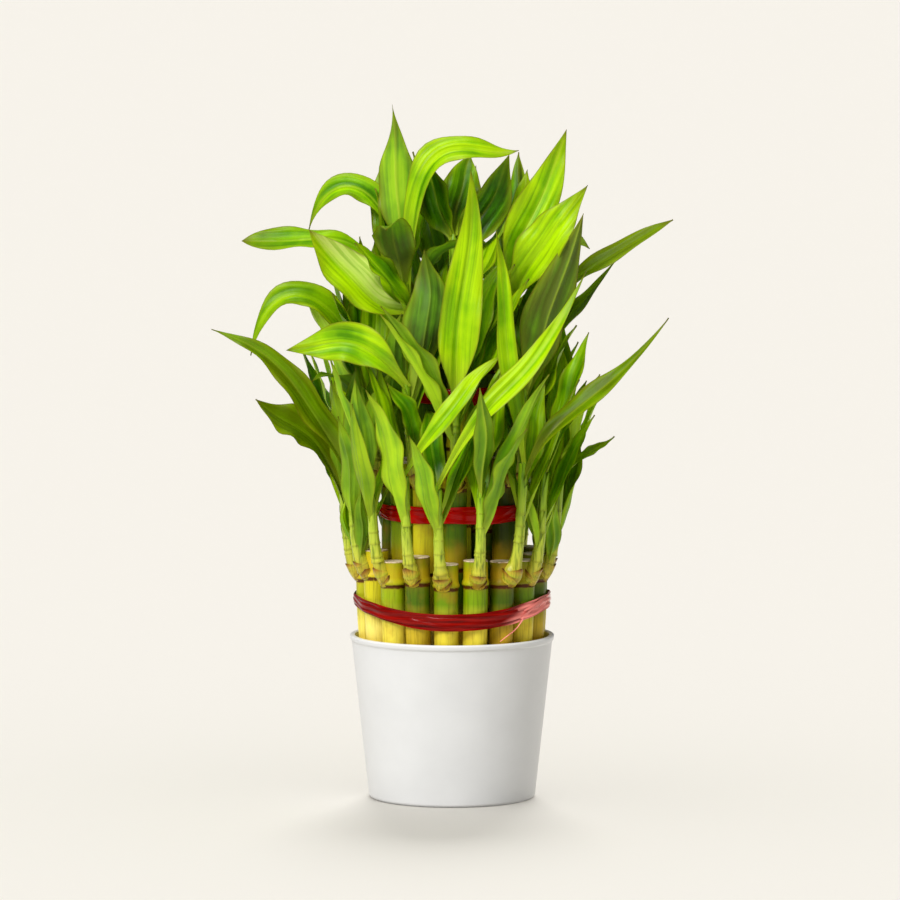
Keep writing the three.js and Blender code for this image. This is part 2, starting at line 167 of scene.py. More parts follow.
def closed_shape(rings, looped=False, material=0, **marks):
    """A closed surface through rings of points, an array of ring by place by xyz. Neighbouring rings are
    joined by quads. The two end rings are filled, or joined to each other where looped. Where the volume, the
    sum of a . (b x c) / 6 over the triangles, comes out negative, every face is turned round. marks are
    values per point that the materials read."""
    count, size = rings.shape[:2]
    index = np.arange(count * size).reshape(count, size)
    low, high = (index, np.roll(index, -1, 0)) if looped else (index[:-1], index[1:])
    quads = np.stack([low, np.roll(low, -1, 1), np.roll(high, -1, 1), high], -1).reshape(-1, 4)
    caps = [] if looped else [index[0][::-1], index[-1]]
    points = rings.reshape(-1, 3)
    fans = [np.stack([np.full(size - 2, cap[0]), cap[1:-1], cap[2:]], -1) for cap in caps]
    triangles = np.concatenate([quads[:, :3], quads[:, [0, 2, 3]], *fans])
    a, b, c = (points[triangles[:, k]] - points[0] for k in range(3))
    if np.sum(a * np.cross(b, c)) < 0:
        quads, caps = quads[:, ::-1], [cap[::-1] for cap in caps]
    marks = {name: np.broadcast_to(value, (count, size)).ravel() for name, value in marks.items()}
    return {"points": points, "quads": quads, "caps": caps, "material": material, "marks": marks}


def make_piece(name, shapes, materials, stands_for=(), sharp=40):
    """One Blender object from closed shapes in millimetres, riding on the root body. Edges sharper than sharp
    degrees stay crisp. stands_for names the solids of the model that it replaces."""
    starts = np.cumsum([0] + [len(shape["points"]) for shape in shapes])
    faces, numbers = [], []
    for shape, start in zip(shapes, starts):
        faces += (shape["quads"] + start).tolist() + [(cap + start).tolist() for cap in shape["caps"]]
        numbers += [shape["material"]] * (len(shape["quads"]) + len(shape["caps"]))
    mesh = bpy.data.meshes.new(name)
    mesh.from_pydata((np.concatenate([shape["points"] for shape in shapes]) * MM).tolist(), [], faces)
    mesh.polygons.foreach_set("material_index", numbers)
    mesh.polygons.foreach_set("use_smooth", np.ones(len(faces), bool))
    mesh.set_sharp_from_angle(angle=math.radians(sharp))
    for mark in sorted({mark for shape in shapes for mark in shape["marks"]}):
        values = [shape["marks"].get(mark, np.zeros(len(shape["points"]))) for shape in shapes]
        data = mesh.attributes.new(mark, "FLOAT", "POINT").data
        data.foreach_set("value", np.concatenate(values).astype(np.float32))
    for material in materials:
        mesh.materials.append(material)
    piece = bpy.data.objects.new(name, mesh)
    bpy.context.collection.objects.link(piece)
    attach(piece, "root")
    if stands_for:
        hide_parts(*stands_for)
    return piece


def pot_radius(height):
    """Outer radius of the pot's wall, which widens evenly from foot to rim."""
    return POT["foot"] + (POT["rim"] - POT["foot"]) * height / POT["height"]


def start_material(name, *marks):
    """A new material, what adds a node to it, the object's own coordinates, in which its patterns are drawn,
    and the marks of its shapes that it reads."""
    material = bpy.data.materials.new(name)
    material.use_nodes = True
    add = functools.partial(add_node, material)
    read = [add("Attribute", output="Fac", attribute_name=mark) for mark in marks]
    return material, add, add("TexCoord", output="Object"), *read


foot, rim, wall, floor, top = (POT[part] for part in ("foot", "rim", "wall", "floor", "height"))
lip_low = top - POT["lip_height"]
pot_profile = eased(np.array([
    (AXIS_HOLE, 0.5), (foot - 5.0, 0.5), (foot - 4.2, 0.0), (foot - 0.7, 0.0), (pot_radius(0.9), 0.9),
    (pot_radius(lip_low), lip_low), (pot_radius(lip_low) + POT["lip"], lip_low + 0.6),
    (rim + POT["lip"], top - 0.5), (rim + 0.1, top), (rim - wall + 0.2, top), (rim - wall, top - 0.6),
    (pot_radius(floor) - wall, floor), (AXIS_HOLE, floor),
]))
pot_rings = pot_profile[:, :1, None] * direction(np.linspace(0, 360, POT_SIDES, endpoint=False))
pot_rings[..., 2] += pot_profile[:, 1:]

# Polypropylene, polished mould: a satin white skin with a soft gloss. Its faint grain, 0.5 mm, is drawn at
# 1.5 mm so that it shows, and the wall is a little greyer in clouds 22 mm wide where hands have dulled it.
polypropylene, add, place = start_material("moulded polypropylene")
clouds = add("TexNoise", {"Vector": place, "Scale": 1 / (22.2 * MM), "Detail": 4.0})
grain = add("TexNoise", {"Vector": place, "Scale": 1 / (1.5 * MM), "Detail": 2.0})
white = add("ValToRGB", {"Fac": clouds}, [(0.3, "#DADBDC"), (0.7, "#E0E1E2")])
dulled = add("MapRange", {"Value": clouds, "To Min": 0.26, "To Max": 0.4})
relief = add("Bump", {"Height": grain, "Strength": 0.05, "Distance": 0.2 * MM})
set_sockets(polypropylene, "Principled BSDF", {
    "Base Color": white, "Roughness": dulled, "IOR": 1.49, "Normal": relief})

pot = make_piece("white_pot", [closed_shape(pot_rings)], [polypropylene], ["pot"], sharp=60)
shading.objects.link(pot)


# ---- Soil ----
# Dark potting mix, tipped round the feet of the canes and pressed down by hand. The model's solid with its
# holes for the canes stays, and loose crumbs lie on it.

SOIL_TOP = 62
CANE = {"low": 38, "straight_from": 98, "foot": 5.1, "radius": 5.45, "swell": 0.7, "stub": 10.5}
TIERS = [
    {"tier": "outer", "count": 18, "ring": 36.9, "lean": 4.7, "turn": -4, "node": 98, "shoot": 50, "out": 3},
    {"tier": "middle", "count": 12, "ring": 25.6, "lean": 4, "turn": 2.5, "node": 140, "shoot": 44, "out": 4},
    {"tier": "inner", "count": 6, "ring": 14.4, "lean": 3.4, "turn": 12, "node": 189, "shoot": 42, "out": 5},
    {"tier": "centre", "count": 1, "ring": 0, "lean": 0, "turn": 0, "node": 203, "shoot": 40, "out": 0},
]
GAP = ("middle", 2)  # the place in a ring that has no cane
CRUMBS = {"tried": 2600, "size": (0.5, 1.5), "turn": 137.508, "seed": 7, "uneven": (0.8, 1.2), "sunk": 0.25,
          "off_wall": 0.6, "off_canes": 0.3}


def cane_middle(stem, height):
    """Points on a cane's axis. Below straight_from the canes lean in, following the pot's taper: the distance
    from the middle is ring - lean (1 - sin(90 degrees times the share of the way up))."""
    height = np.asarray(height, float)
    share = np.minimum(1, (height - CANE["low"]) / (CANE["straight_from"] - CANE["low"]))
    ring = stem["ring"] - stem["lean"] * (1 - np.sin(np.pi / 2 * share))
    return ring[..., None] * direction(stem["turn"]) + height[..., None] * np.array([0, 0, 1])


def places(tier):
    """The numbers and turns of a tier's canes, evenly spaced round the ring, with the gap left out."""
    numbers = [number for number in range(1, tier["count"] + 1) if (tier["tier"], number) != GAP]
    return [(number, tier["turn"] + 360 * (number - 1) / tier["count"]) for number in numbers]


# Peat and composted bark: matte, dark brown, in grains of 1 to 3 mm with a few pale fibres of bark.
potting_mix, add, place = start_material("peat and bark potting mix")
grains = add("TexVoronoi", {"Vector": place, "Scale": 1 / (2.2 * MM), "Randomness": 1.0})
dust = add("TexNoise", {"Vector": place, "Scale": 1 / (0.9 * MM), "Detail": 5.0})
speck = add("Mix", {0: 0.5, 2: grains, 3: dust})
brown = add("ValToRGB", {"Fac": speck},
            [(0.2, "#1D130C"), (0.42, "#3A2A1D"), (0.6, "#55402C"), (0.78, "#8A6F4E")])
relief = add("Bump", {"Height": speck, "Strength": 0.9, "Distance": 1.2 * MM})
set_sockets(potting_mix, "Principled BSDF", {
    "Base Color": brown, "Roughness": 0.95, "Specular IOR Level": 0.15, "Normal": relief})
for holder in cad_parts["soil"].material_slots:
    holder.material = potting_mix

# Each crumb is an icosahedron whose corners are pushed in and out by a fifth of its size. The crumbs are
# tried along a spiral, and stay where they are clear of the canes and the wall.
golden = (1 + math.sqrt(5)) / 2  # the corners are those of three golden oblongs
oblong = np.array([(-1, golden, 0), (1, golden, 0), (-1, -golden, 0), (1, -golden, 0)])
corners = np.concatenate([np.roll(oblong, axis, 1) for axis in range(3)]) / math.hypot(1, golden)
sides = np.array([(0, 11, 5), (0, 5, 1), (0, 1, 7), (0, 7, 10), (0, 10, 11), (1, 5, 9), (5, 11, 4),
                  (11, 10, 2), (10, 7, 6), (7, 1, 8), (3, 9, 4), (3, 4, 2), (3, 2, 6), (3, 6, 8), (3, 8, 9),
                  (4, 9, 5), (2, 4, 11), (6, 2, 10), (8, 6, 7), (9, 8, 1)])
dice = np.random.default_rng(CRUMBS["seed"])
soil_edge = pot_radius(SOIL_TOP) - POT["wall"] - CRUMBS["off_wall"]
crumb_size = dice.uniform(*CRUMBS["size"], CRUMBS["tried"])
spread_out = soil_edge * np.sqrt(np.arange(CRUMBS["tried"]) / CRUMBS["tried"])
crumb_at = spread_out[:, None] * direction(np.arange(CRUMBS["tried"]) * CRUMBS["turn"])
feet = np.array([cane_middle({**tier, "turn": turn}, SOIL_TOP) for tier in TIERS for _, turn in places(tier)])
away = np.linalg.norm(crumb_at[:, None, :2] - feet[None, :, :2], axis=-1).min(1)
reach = crumb_size * CRUMBS["uneven"][1]
fits = (away - CANE["radius"] - CRUMBS["off_canes"] > reach) & (spread_out + reach < soil_edge)
crumb_at, crumb_size = crumb_at[fits], crumb_size[fits]
crumb_at[:, 2] = SOIL_TOP + CRUMBS["sunk"] * crumb_size
lumps = corners * dice.uniform(*CRUMBS["uneven"], (len(crumb_at), 12, 1)) * crumb_size[:, None, None]
lumps += crumb_at[:, None]
crumb_faces = (sides[None] + 12 * np.arange(len(crumb_at))[:, None, None]).reshape(-1, 3)
crumbs = {"points": lumps.reshape(-1, 3), "quads": crumb_faces, "caps": [], "material": 0, "marks": {}}
make_piece("soil_crumbs", [crumbs], [potting_mix], sharp=20)


# ---- Plants: canes ----
# Each plant is a length of living cane, cut square above its top node and sealed with wax, with one leafy
# shoot from that node. The canes stand in the soil, in rings of rising height, and nothing but the ties holds
# them.

CANE_SIDES = 28
CANE_TONES = {  # the canes that show at the front, from 0 for a dark brown-green one to 1 for a pale one
    "outer": {15: 0.9, 16: 1.0, 17: 0.75, 18: 0.2, 1: 0.5, 2: 0.6, 3: 0.1, 4: 0.45, 5: 0.2},
    # The middle tier's third cane is painted dark, painted shade for the shade that it stands in.
    "middle": {12: 1.0, 1: 0.3, 3: 0.0}, "inner": {}, "centre": {},
}
INSET = 0.12  # the bark lies this far inside the model's cane, where no node swells it
NODE = {"apart": (33, 44), "near": 3.5, "swell": 0.3, "swell_at": 0.3, "swell_half": 1.5, "groove": 0.28,
        "groove_at": -1.0, "groove_half": 0.45}
SCAR = {"below": 1.0, "half": 0.85}  # the brown line that a fallen leaf leaves round a node
FLUSH = {"above": 4, "half": 5}  # the yellow-brown band over a node
CUT = [(0.985, 0.5), (0.99, 0.25), (0.96, 0.06), (0.9, 0.0), (0.7, 0.12), (0.4, 0.28), (0.15, 0.2),
       (0.01, 0.2)]  # the cut top's edge and face, as shares of the radius and depths
SHOOT = {"foot": 4.2, "tip": 1.8, "bulge_at": 0.2, "bulge_half": 0.09}


def draws(seed):
    """A repeatable stream of draws between 0 and 1, by whole-number mixing of a counter."""
    state = seed
    while True:
        state = (state + 0x6D2B79F5) & 0xFFFFFFFF
        mixed = (state ^ (state >> 15)) * (1 | state) & 0xFFFFFFFF
        mixed = ((mixed + ((mixed ^ (mixed >> 7)) * (61 | mixed) & 0xFFFFFFFF)) ^ mixed) & 0xFFFFFFFF
        yield (mixed ^ (mixed >> 14)) / 2**32


def unit(vectors):
    """Each vector divided by its own length."""
    return vectors / np.linalg.norm(vectors, axis=-1, keepdims=True)


def bezier(points, t):
    """Points and unit tangents of the cubic with four control points, at the shares t of its way."""
    t = np.asarray(t, float)[..., None]
    a, b, c, d = points
    at = (1 - t) ** 3 * a + 3 * t * (1 - t) ** 2 * b + 3 * t**2 * (1 - t) * c + t**3 * d
    along = 3 * (1 - t) ** 2 * (b - a) + 6 * t * (1 - t) * (c - b) + 3 * t**2 * (d - c)
    return at, unit(along)


def bare_stem(tier, number, turn, seed):
    """A plant's own small differences, drawn in order: height of its node, length of its stub, side of its
    shoot and rise of its shoot. The shoot's curve leaves the node sideways and bends upright."""
    draw = draws(seed)
    stem = {**tier, "turn": turn, "seed": seed, "name": f"{tier['tier']}_plant_{number:02d}"}
    for part, middle, spread in (("node", tier["node"], 3), ("stub", CANE["stub"], 2), ("side", turn, 40)):
        stem[part] = middle + spread * (next(draw) - 0.5)
    stem["rise"] = tier["shoot"] * (0.85 + 0.3 * next(draw))
    start = cane_middle(stem, stem["node"] - 1)
    reach = CANE["radius"] + SHOOT["foot"] - 0.6
    steps = [(0, 0), (1.25 * reach, 0.12 * stem["rise"]), (reach, 0.5 * stem["rise"]),
             (reach + stem["out"], stem["rise"])]
    stem["curve"] = np.array([start + out * direction(stem["side"]) + [0, 0, up] for out, up in steps])
    return stem


def smooth(value, low, high):
    """0 below low, 1 above high, and 3 x^2 - 2 x^3 between them."""
    share = np.clip((value - low) / (high - low), 0, 1)
    return share * share * (3 - 2 * share)


def bump_at(value, middle, half):
    """A bell: 1 at middle, exp(-1) at half away from it."""
    return np.exp(-((value - middle) / half) ** 2)


def cane_shapes(stem, dice):
    """The cane and its cut top. The radius is the plain one, with a bell of swell at each node and a bell of
    groove under it. The cut top is a rounded edge and a slightly dished face."""
    nodes = np.arange(stem["node"], SOIL_TOP, -dice.uniform(*NODE["apart"]))
    top = stem["node"] + stem["stub"]
    bark_top = top - CUT[0][1]
    near_nodes = nodes[:, None] + np.linspace(-NODE["near"], NODE["near"], 15)
    rows = np.unique(np.concatenate([np.linspace(CANE["low"], bark_top, 30), near_nodes.ravel()]))
    rows = rows[(rows <= bark_top) & (rows >= CANE["low"])]
    row = rows[:, None]
    radius = CANE["radius"] + (CANE["foot"] - CANE["radius"]) * (1 - smooth(rows, CANE["low"], SOIL_TOP))
    swell = np.where(nodes == stem["node"], CANE["swell"], NODE["swell"])
    radius = radius - INSET + (bump_at(row, nodes + NODE["swell_at"], NODE["swell_half"]) * swell).sum(1)
    radius -= NODE["groove"] * bump_at(row, nodes + NODE["groove_at"], NODE["groove_half"]).sum(1)
    turn = stem["turn"] + np.linspace(0, 360, CANE_SIDES, endpoint=False)
    angle = np.radians(turn)
    wobble = 1 + 0.012 * np.sin(2 * angle + dice.uniform(0, 6)) + 0.006 * np.sin(5 * angle + row / 9)
    rings = cane_middle(stem, rows)[:, None] + (radius[:, None] * wobble)[..., None] * direction(turn)
    scar = bump_at(row, nodes - SCAR["below"], SCAR["half"]).sum(1, keepdims=True)
    flush = bump_at(row, nodes + FLUSH["above"], FLUSH["half"]).sum(1, keepdims=True)
    bark = closed_shape(rings, tone=stem["tone"], scar=scar, flush=flush, height=row - SOIL_TOP)

    share, depth = np.transpose(CUT)
    wobble = 1 + 0.015 * np.sin(3 * angle + dice.uniform(0, 6))
    out = share[:, None] * CANE["radius"] * wobble
    disc = cane_middle(stem, top - depth)[:, None] + out[..., None] * direction(turn)
    return [bark, closed_shape(disc, material=1, rim=share[:, None])]


# Living cane: a thin waxy skin with paler lengthwise fibres. It is green from about 20 mm above the soil and
# painted pale yellow below that, a painted highlight, with a brown scar ring under each node and a
# yellow-brown band over it. The fibres, 0.3 mm, are drawn at 1 mm, and the worn patches are 11 mm wide.
cane_skin, add, place, tone, scar, flush, height = start_material(
    "waxy cane skin", "tone", "scar", "flush", "height")
drawn_out = add("Mapping", {"Vector": place, "Scale": (1, 1, 0.06)})
fibres = add("TexNoise", {"Vector": drawn_out, "Scale": 1 / MM, "Detail": 3.0})
patches = add("TexNoise", {"Vector": place, "Scale": 1 / (11 * MM), "Detail": 3.0})
# The low ramp is a painted highlight, pale yellow, on the lower canes; the high ramp is their green.
low = add("ValToRGB", {"Fac": tone},
          [(0.0, "#B8901A"), (0.35, "#E2CC30"), (0.7, "#FAE848"), (1.0, "#FFF07C")])
high = add("ValToRGB", {"Fac": tone},
           [(0.0, "#3C4E00"), (0.35, "#547A00"), (0.7, "#84A600"), (1.0, "#D6CE20")])
green_over_painted_highlight = add("MapRange", {"Value": height, "From Min": 15.6, "From Max": 27.6})
skin = add("Mix", {0: green_over_painted_highlight, 6: low, 7: high}, **TINT)
fibre_shade = add("ValToRGB", {"Fac": fibres}, [(0.3, "#BCB670"), (0.52, "#FFFFFF"), (0.75, "#FFFFE0")])
skin = add("Mix", {0: 0.6, 6: skin, 7: fibre_shade}, **TINT, blend_type="MULTIPLY")
worn = add("MapRange", {"Value": patches, "From Min": 0.55, "From Max": 0.75, "To Max": 0.5})
flushed = add("Math", {0: flush, 1: 0.5}, operation="MULTIPLY")
scar_edge = add("Math", {0: scar, 1: fibres}, operation="MULTIPLY")
scarred = add("MapRange", {"Value": scar_edge, "From Min": 0.08, "From Max": 0.32, "To Max": 0.95})
for share, shade in ((worn, "#B4801E"), (flushed, "#E0B01C"), (scarred, "#521E04")):
    skin = add("Mix", {0: share, 6: skin, 7: linear(shade)}, **TINT)
relief = add("Bump", {"Height": fibres, "Strength": 0.35, "Distance": 0.25 * MM})
set_sockets(cane_skin, "Principled BSDF", {
    "Base Color": skin, "Roughness": 0.42, "IOR": 1.45, "Specular IOR Level": 0.25, "Normal": relief})

# Sealing wax on the cut: off-white with a pinkish tinge, thin enough at the rim for the brown cut to show. It
# ran in clouds 2.5 mm wide.
sealing_wax, add, place, rim = start_material("sealing wax on the cut", "rim")
flow = add("TexNoise", {"Vector": place, "Scale": 1 / (2.5 * MM), "Detail": 4.0})
thin = add("Math", {0: rim, 1: flow}, operation="MULTIPLY")
wax_shade = add("ValToRGB", {"Fac": thin},
                [(0.0, "#C9A98C"), (0.2, "#EADCC6"), (0.45, "#DCC4A6"), (0.62, "#9A7B4C")])
relief = add("Bump", {"Height": flow, "Strength": 0.5, "Distance": 0.5 * MM})
set_sockets(sealing_wax, "Principled BSDF", {"Base Color": wax_shade, "Roughness": 0.4, "Normal": relief})


# ---- Plants: shoots ----
# A shoot bursts from the node with a swollen yellow base, and rises wrapped in the sheaths of its leaves,
# each clasping the one above it. It is alive and grows from the cane, so nothing fastens it.

SHOOT_SIDES = 20
BULGES = {"outer_plant_03": 1.5}  # how far a shoot swells above its foot, where that shows at the front
SHEATH = {"reach": (0.2, 0.36), "foot": 165, "top": 70, "off": 0.1, "ring": 0.3, "thick": 0.32}
SCALES = 3  # scale leaves round the foot of each shoot. Their spare draw keeps the later ones in their order.
SCALE_RANGES = {"shift": (-0.02, 0.02), "length": (0.07, 0.14), "turn": (-30, 30), "off": (0.3, 1.1),
                "spare": (0, 1)}
SCALE = {"wide": 120, "apart": 140, "thick": 0.28}


def drawn(ranges, dice):
    """One draw from each of the named ranges, in their order."""
    return dict(zip(ranges, dice.uniform(*np.transpose(list(ranges.values())))))


def shoot_frame(stem, t):
    """At the shares t of the shoot's way: its middle, and two directions square to it and to each other."""
    at, along = bezier(stem["curve"], t)
    level = np.broadcast_to(direction(stem["side"] + 90), along.shape)
    return at, level, np.cross(along, level)


def shoot_radius(t, power=2):
    """The model's radius along a shoot, which places the leaves: tip + (foot - tip) (1 - t)^power."""
    return SHOOT["tip"] + (SHOOT["foot"] - SHOOT["tip"]) * (1 - t) ** power


def stalk_radius(stem, t):
    """The finished shoot's radius: slimmer, with a power of 3, and with a bell of bulge over its foot."""
    return shoot_radius(t, 3) + stem["bulge"] * bump_at(t, SHOOT["bulge_at"], SHOOT["bulge_half"])


def round_shoot(at, first, second, angle, distance):
    """Points round a shoot's middle: at + distance (cos(angle) first + sin(angle) second)."""
    around = np.cos(angle)[..., None] * first[:, None] + np.sin(angle)[..., None] * second[:, None]
    return at[:, None] + distance[..., None] * around


def wrapped(at, first, second, angle, distance, thick, **marks):
    """A strip wrapped round a shoot, with its outer face at a distance from the middle and its inner face
    thick nearer."""
    outer, inner = (round_shoot(at, first, second, angle, distance - inward) for inward in (0, thick))
    return closed_shape(np.concatenate([outer, inner[:, ::-1]], 1), material=2, **marks)


def shoot_shape(stem, leaves, dice):
    """The shoot's core: a round stem that steps in by 5 % above each leaf's root and ends in a round tip."""
    t = np.concatenate([np.linspace(0, 0.96, 48), [0.975, 0.99, 0.999]])
    roots = np.array([leaf["root"] for leaf in leaves])
    steps = 1 - 0.05 * smooth(t[:, None], roots - 0.01, roots + 0.02).sum(1)
    radius = stalk_radius(stem, t) * steps * np.sqrt(1 - smooth(t, 0.93, 1.0) * 0.98)
    angle = np.linspace(0, 2 * np.pi, SHOOT_SIDES, endpoint=False)[None]
    ridges = 1 + 0.05 * np.sin(3 * angle + 9 * t[:, None] + dice.uniform(0, 6))
    rings = round_shoot(*shoot_frame(stem, t), angle, radius[:, None] * ridges)
    return closed_shape(rings, material=2, along=t[:, None])


def sheath_shape(stem, leaf, dice):
    """A leaf's sheath: a strip wrapped round the shoot under the leaf's root. It reaches 165 degrees to each
    side at its foot, where a ring stands out, and narrows to 70 degrees where the blade leaves it."""
    share = np.linspace(0, 1, 18)[:, None] ** 1.4
    t = np.clip(leaf["root"] - dice.uniform(*SHEATH["reach"]) * (1 - share), 0.1, 1)
    at, along = bezier(stem["curve"], t[:, 0])
    outward = unit(leaf["out"] - (leaf["out"] * along).sum(-1, keepdims=True) * along)
    s = np.linspace(-1, 1, 13)
    angle = np.radians(SHEATH["foot"] - (SHEATH["foot"] - SHEATH["top"]) * share**1.4) * s
    ring = bump_at(share, 0.0, 0.07)
    distance = stalk_radius(stem, t) + SHEATH["off"] + 0.2 * share**2 + 0.08 * (1 - s**2)
    distance += SHEATH["ring"] * ring
    marks = {"along": t, "sheath": share, "ring": ring}
    return wrapped(at, outward, np.cross(along, outward), angle, distance, SHEATH["thick"], **marks)


def scale_shape(stem, number, dice):
    """A scale leaf: a short pointed strip wrapped round the shoot's foot. Its reach to each side shrinks from
    120 degrees by the share of its length to the power 1.7, and its tip stands off by the share squared."""
    own = drawn(SCALE_RANGES, dice)
    share = np.linspace(0, 1, 12)[:, None]
    t = 0.05 + 0.07 * number + own["shift"] + own["length"] * share
    s = np.linspace(-1, 1, 11)
    middle = np.radians(SCALE["apart"] * number + own["turn"])
    angle = middle + np.radians(SCALE["wide"]) * (1.01 - share**1.7) * s
    distance = stalk_radius(stem, t) + SHEATH["off"] + (own["off"] * share**2 + 0.12 * (1 - s**2))
    marks = {"along": t, "sheath": share, "scale": 1.0}
    return wrapped(*shoot_frame(stem, t[:, 0]), angle, distance, SCALE["thick"], **marks)


# Leaf sheath: smooth and slightly glossy, cream-yellow low down and pale green above, with lengthwise ribs, a
# faint ring where it starts and bruises 5 mm wide low down. The scale leaves at a shoot's foot dry to brown
# at their points. The ribs, 0.6 mm, are drawn at 1 mm.
sheath_skin, add, place, along, ring, sheath, scale = start_material(
    "leaf sheath", "along", "ring", "sheath", "scale")
drawn_out = add("Mapping", {"Vector": place, "Scale": (1, 1, 0.08)})
ribs = add("TexNoise", {"Vector": drawn_out, "Scale": 1 / MM, "Detail": 3.0})
rib_shade = add("ValToRGB", {"Fac": ribs}, [(0.3, "#6E8C30"), (0.5, "#EEF6CC"), (0.66, "#FFFFEC")])
fresh = add("ValToRGB", {"Fac": along},
            [(0.08, "#DEC03C"), (0.22, "#D2C844"), (0.45, "#C6D04A"), (0.9, "#94BC1C")])
papery = add("ValToRGB", {"Fac": sheath},
             [(0.0, "#BCC030"), (0.45, "#CDB238"), (0.75, "#A87820"), (1.0, "#5E340C")])
bruises = add("TexNoise", {"Vector": place, "Scale": 1 / (5 * MM), "Detail": 2.0})
low_down = add("MapRange", {"Value": along, "From Min": 0.35, "From Max": 0.1, "To Max": 1.0})
bruised = add("MapRange", {"Value": bruises, "From Min": 0.42, "From Max": 0.62, "To Max": low_down})
ringed = add("MapRange", {"Value": ring, "From Min": 0.25, "From Max": 0.9, "To Max": 0.32})
fresh = add("Mix", {0: 0.8, 6: fresh, 7: rib_shade}, **TINT, blend_type="MULTIPLY")
fresh = add("Mix", {0: bruised, 6: fresh, 7: linear("#94700C")}, **TINT)
papery = add("Mix", {0: 0.7, 6: papery, 7: rib_shade}, **TINT, blend_type="MULTIPLY")
skin = add("Mix", {0: scale, 6: fresh, 7: papery}, **TINT)
skin = add("Mix", {0: ringed, 6: skin, 7: linear("#6A5E10")}, **TINT)
relief = add("Bump", {"Height": ribs, "Strength": 0.4, "Distance": 0.3 * MM})
set_sockets(sheath_skin, "Principled BSDF", {
    "Base Color": skin, "Roughness": 0.34, "IOR": 1.45, "Specular IOR Level": 0.35, "Normal": relief})


# ---- Plants: leaves ----
# Lance-shaped leaves, 40 to 90 mm long, each one blade folded in a shallow channel along its midrib. They
# grow in turns up the shoot and arch out to the light. A few young ones are shorter.

BLADE = {"thick": 0.42, "fold": 0.28, "neck_fold": 0.55, "neck": 0.2, "taper": 2.1}
RIPPLE = {"height": 1.3, "full": 15, "beats": (2.2, 3.6)}  # a blade narrower than full ripples less
SWAY = {"sideways": 0.9, "upward": 0.7}
PLAIN = {"roll": 0, "twist": 0, "widest": 0.45, "drip": 0.35, "pale": 0.0}  # unless a leaf says otherwise
HIGH = 0.97  # the share of its shoot where a plant's last drawn leaf starts, and low is where its first does
FOLIAGE = {  # tone is the least tone that a leaf is given
    "outer": {"leaves": 5, "length": (50, 74), "width": (10, 15), "tilt": (4, 17), "low": 0.6, "tone": 0.4},
    "middle": {"leaves": 7, "length": (60, 86), "width": (13, 19), "tilt": (7, 22), "low": 0.6, "tone": 0.35},
    "inner": {"leaves": 8, "length": (50, 74), "width": (14, 21), "tilt": (10, 32), "low": 0.7, "tone": 0.2},
    "centre": {"leaves": 5, "length": (42, 58), "width": (13, 19), "tilt": (5, 26), "low": 0.7, "tone": 0.2},
}
# Leaves finer than the model's: three on each outer shoot at the sides and the back, whose turn has a cosine
# under AT_SIDE.
YOUNG = 3
YOUNG_RANGES = {"turn": (-25, 25), "root": (0.15, 0.5), "tilt": (4, 16), "length": (28, 44), "width": (6, 9),
                "twist": (-30, 30), "tone": (0.35, 0.9)}
AT_SIDE = 0.7
TRIES = 140
SHIFTS = [0, 3, -3, 6, -6, 9, -9, 12]
SAME = 0.03  # a leaf's tip is one of the model's points when it lies this near
